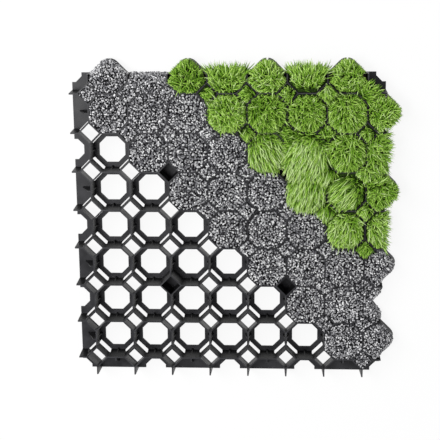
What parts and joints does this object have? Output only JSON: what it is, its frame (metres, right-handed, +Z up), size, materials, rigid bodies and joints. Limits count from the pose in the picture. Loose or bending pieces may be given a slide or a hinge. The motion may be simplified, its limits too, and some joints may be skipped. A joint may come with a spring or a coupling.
{
  "type": "grass grid paver",
  "caption": "Square moulded grid paver with open octagon and diamond cells, part filled with gravel and part with turf, to carry traffic over grass.",
  "frame": {"origin": "middle of the whole footprint, joining lobes included, on the underside", "axes": "+Z up, out of the open tops of the cells; the joining lobes point to +X and +Y, the plates with fins lie along the -X and -Y sides"},
  "size_m": [0.6237, 0.6237, 0.058],
  "materials": {
    "moulded_plastic": "satin black moulding, faintly grained",
    "gravel": "rough crushed stone in light and dark greys",
    "turf": "dense short grass"
  },
  "bodies": {
    "root": {"grid_tile": "moulded_plastic", "gravel_infill": "gravel", "turf_infill": "turf"}
  },
  "joints": []
}
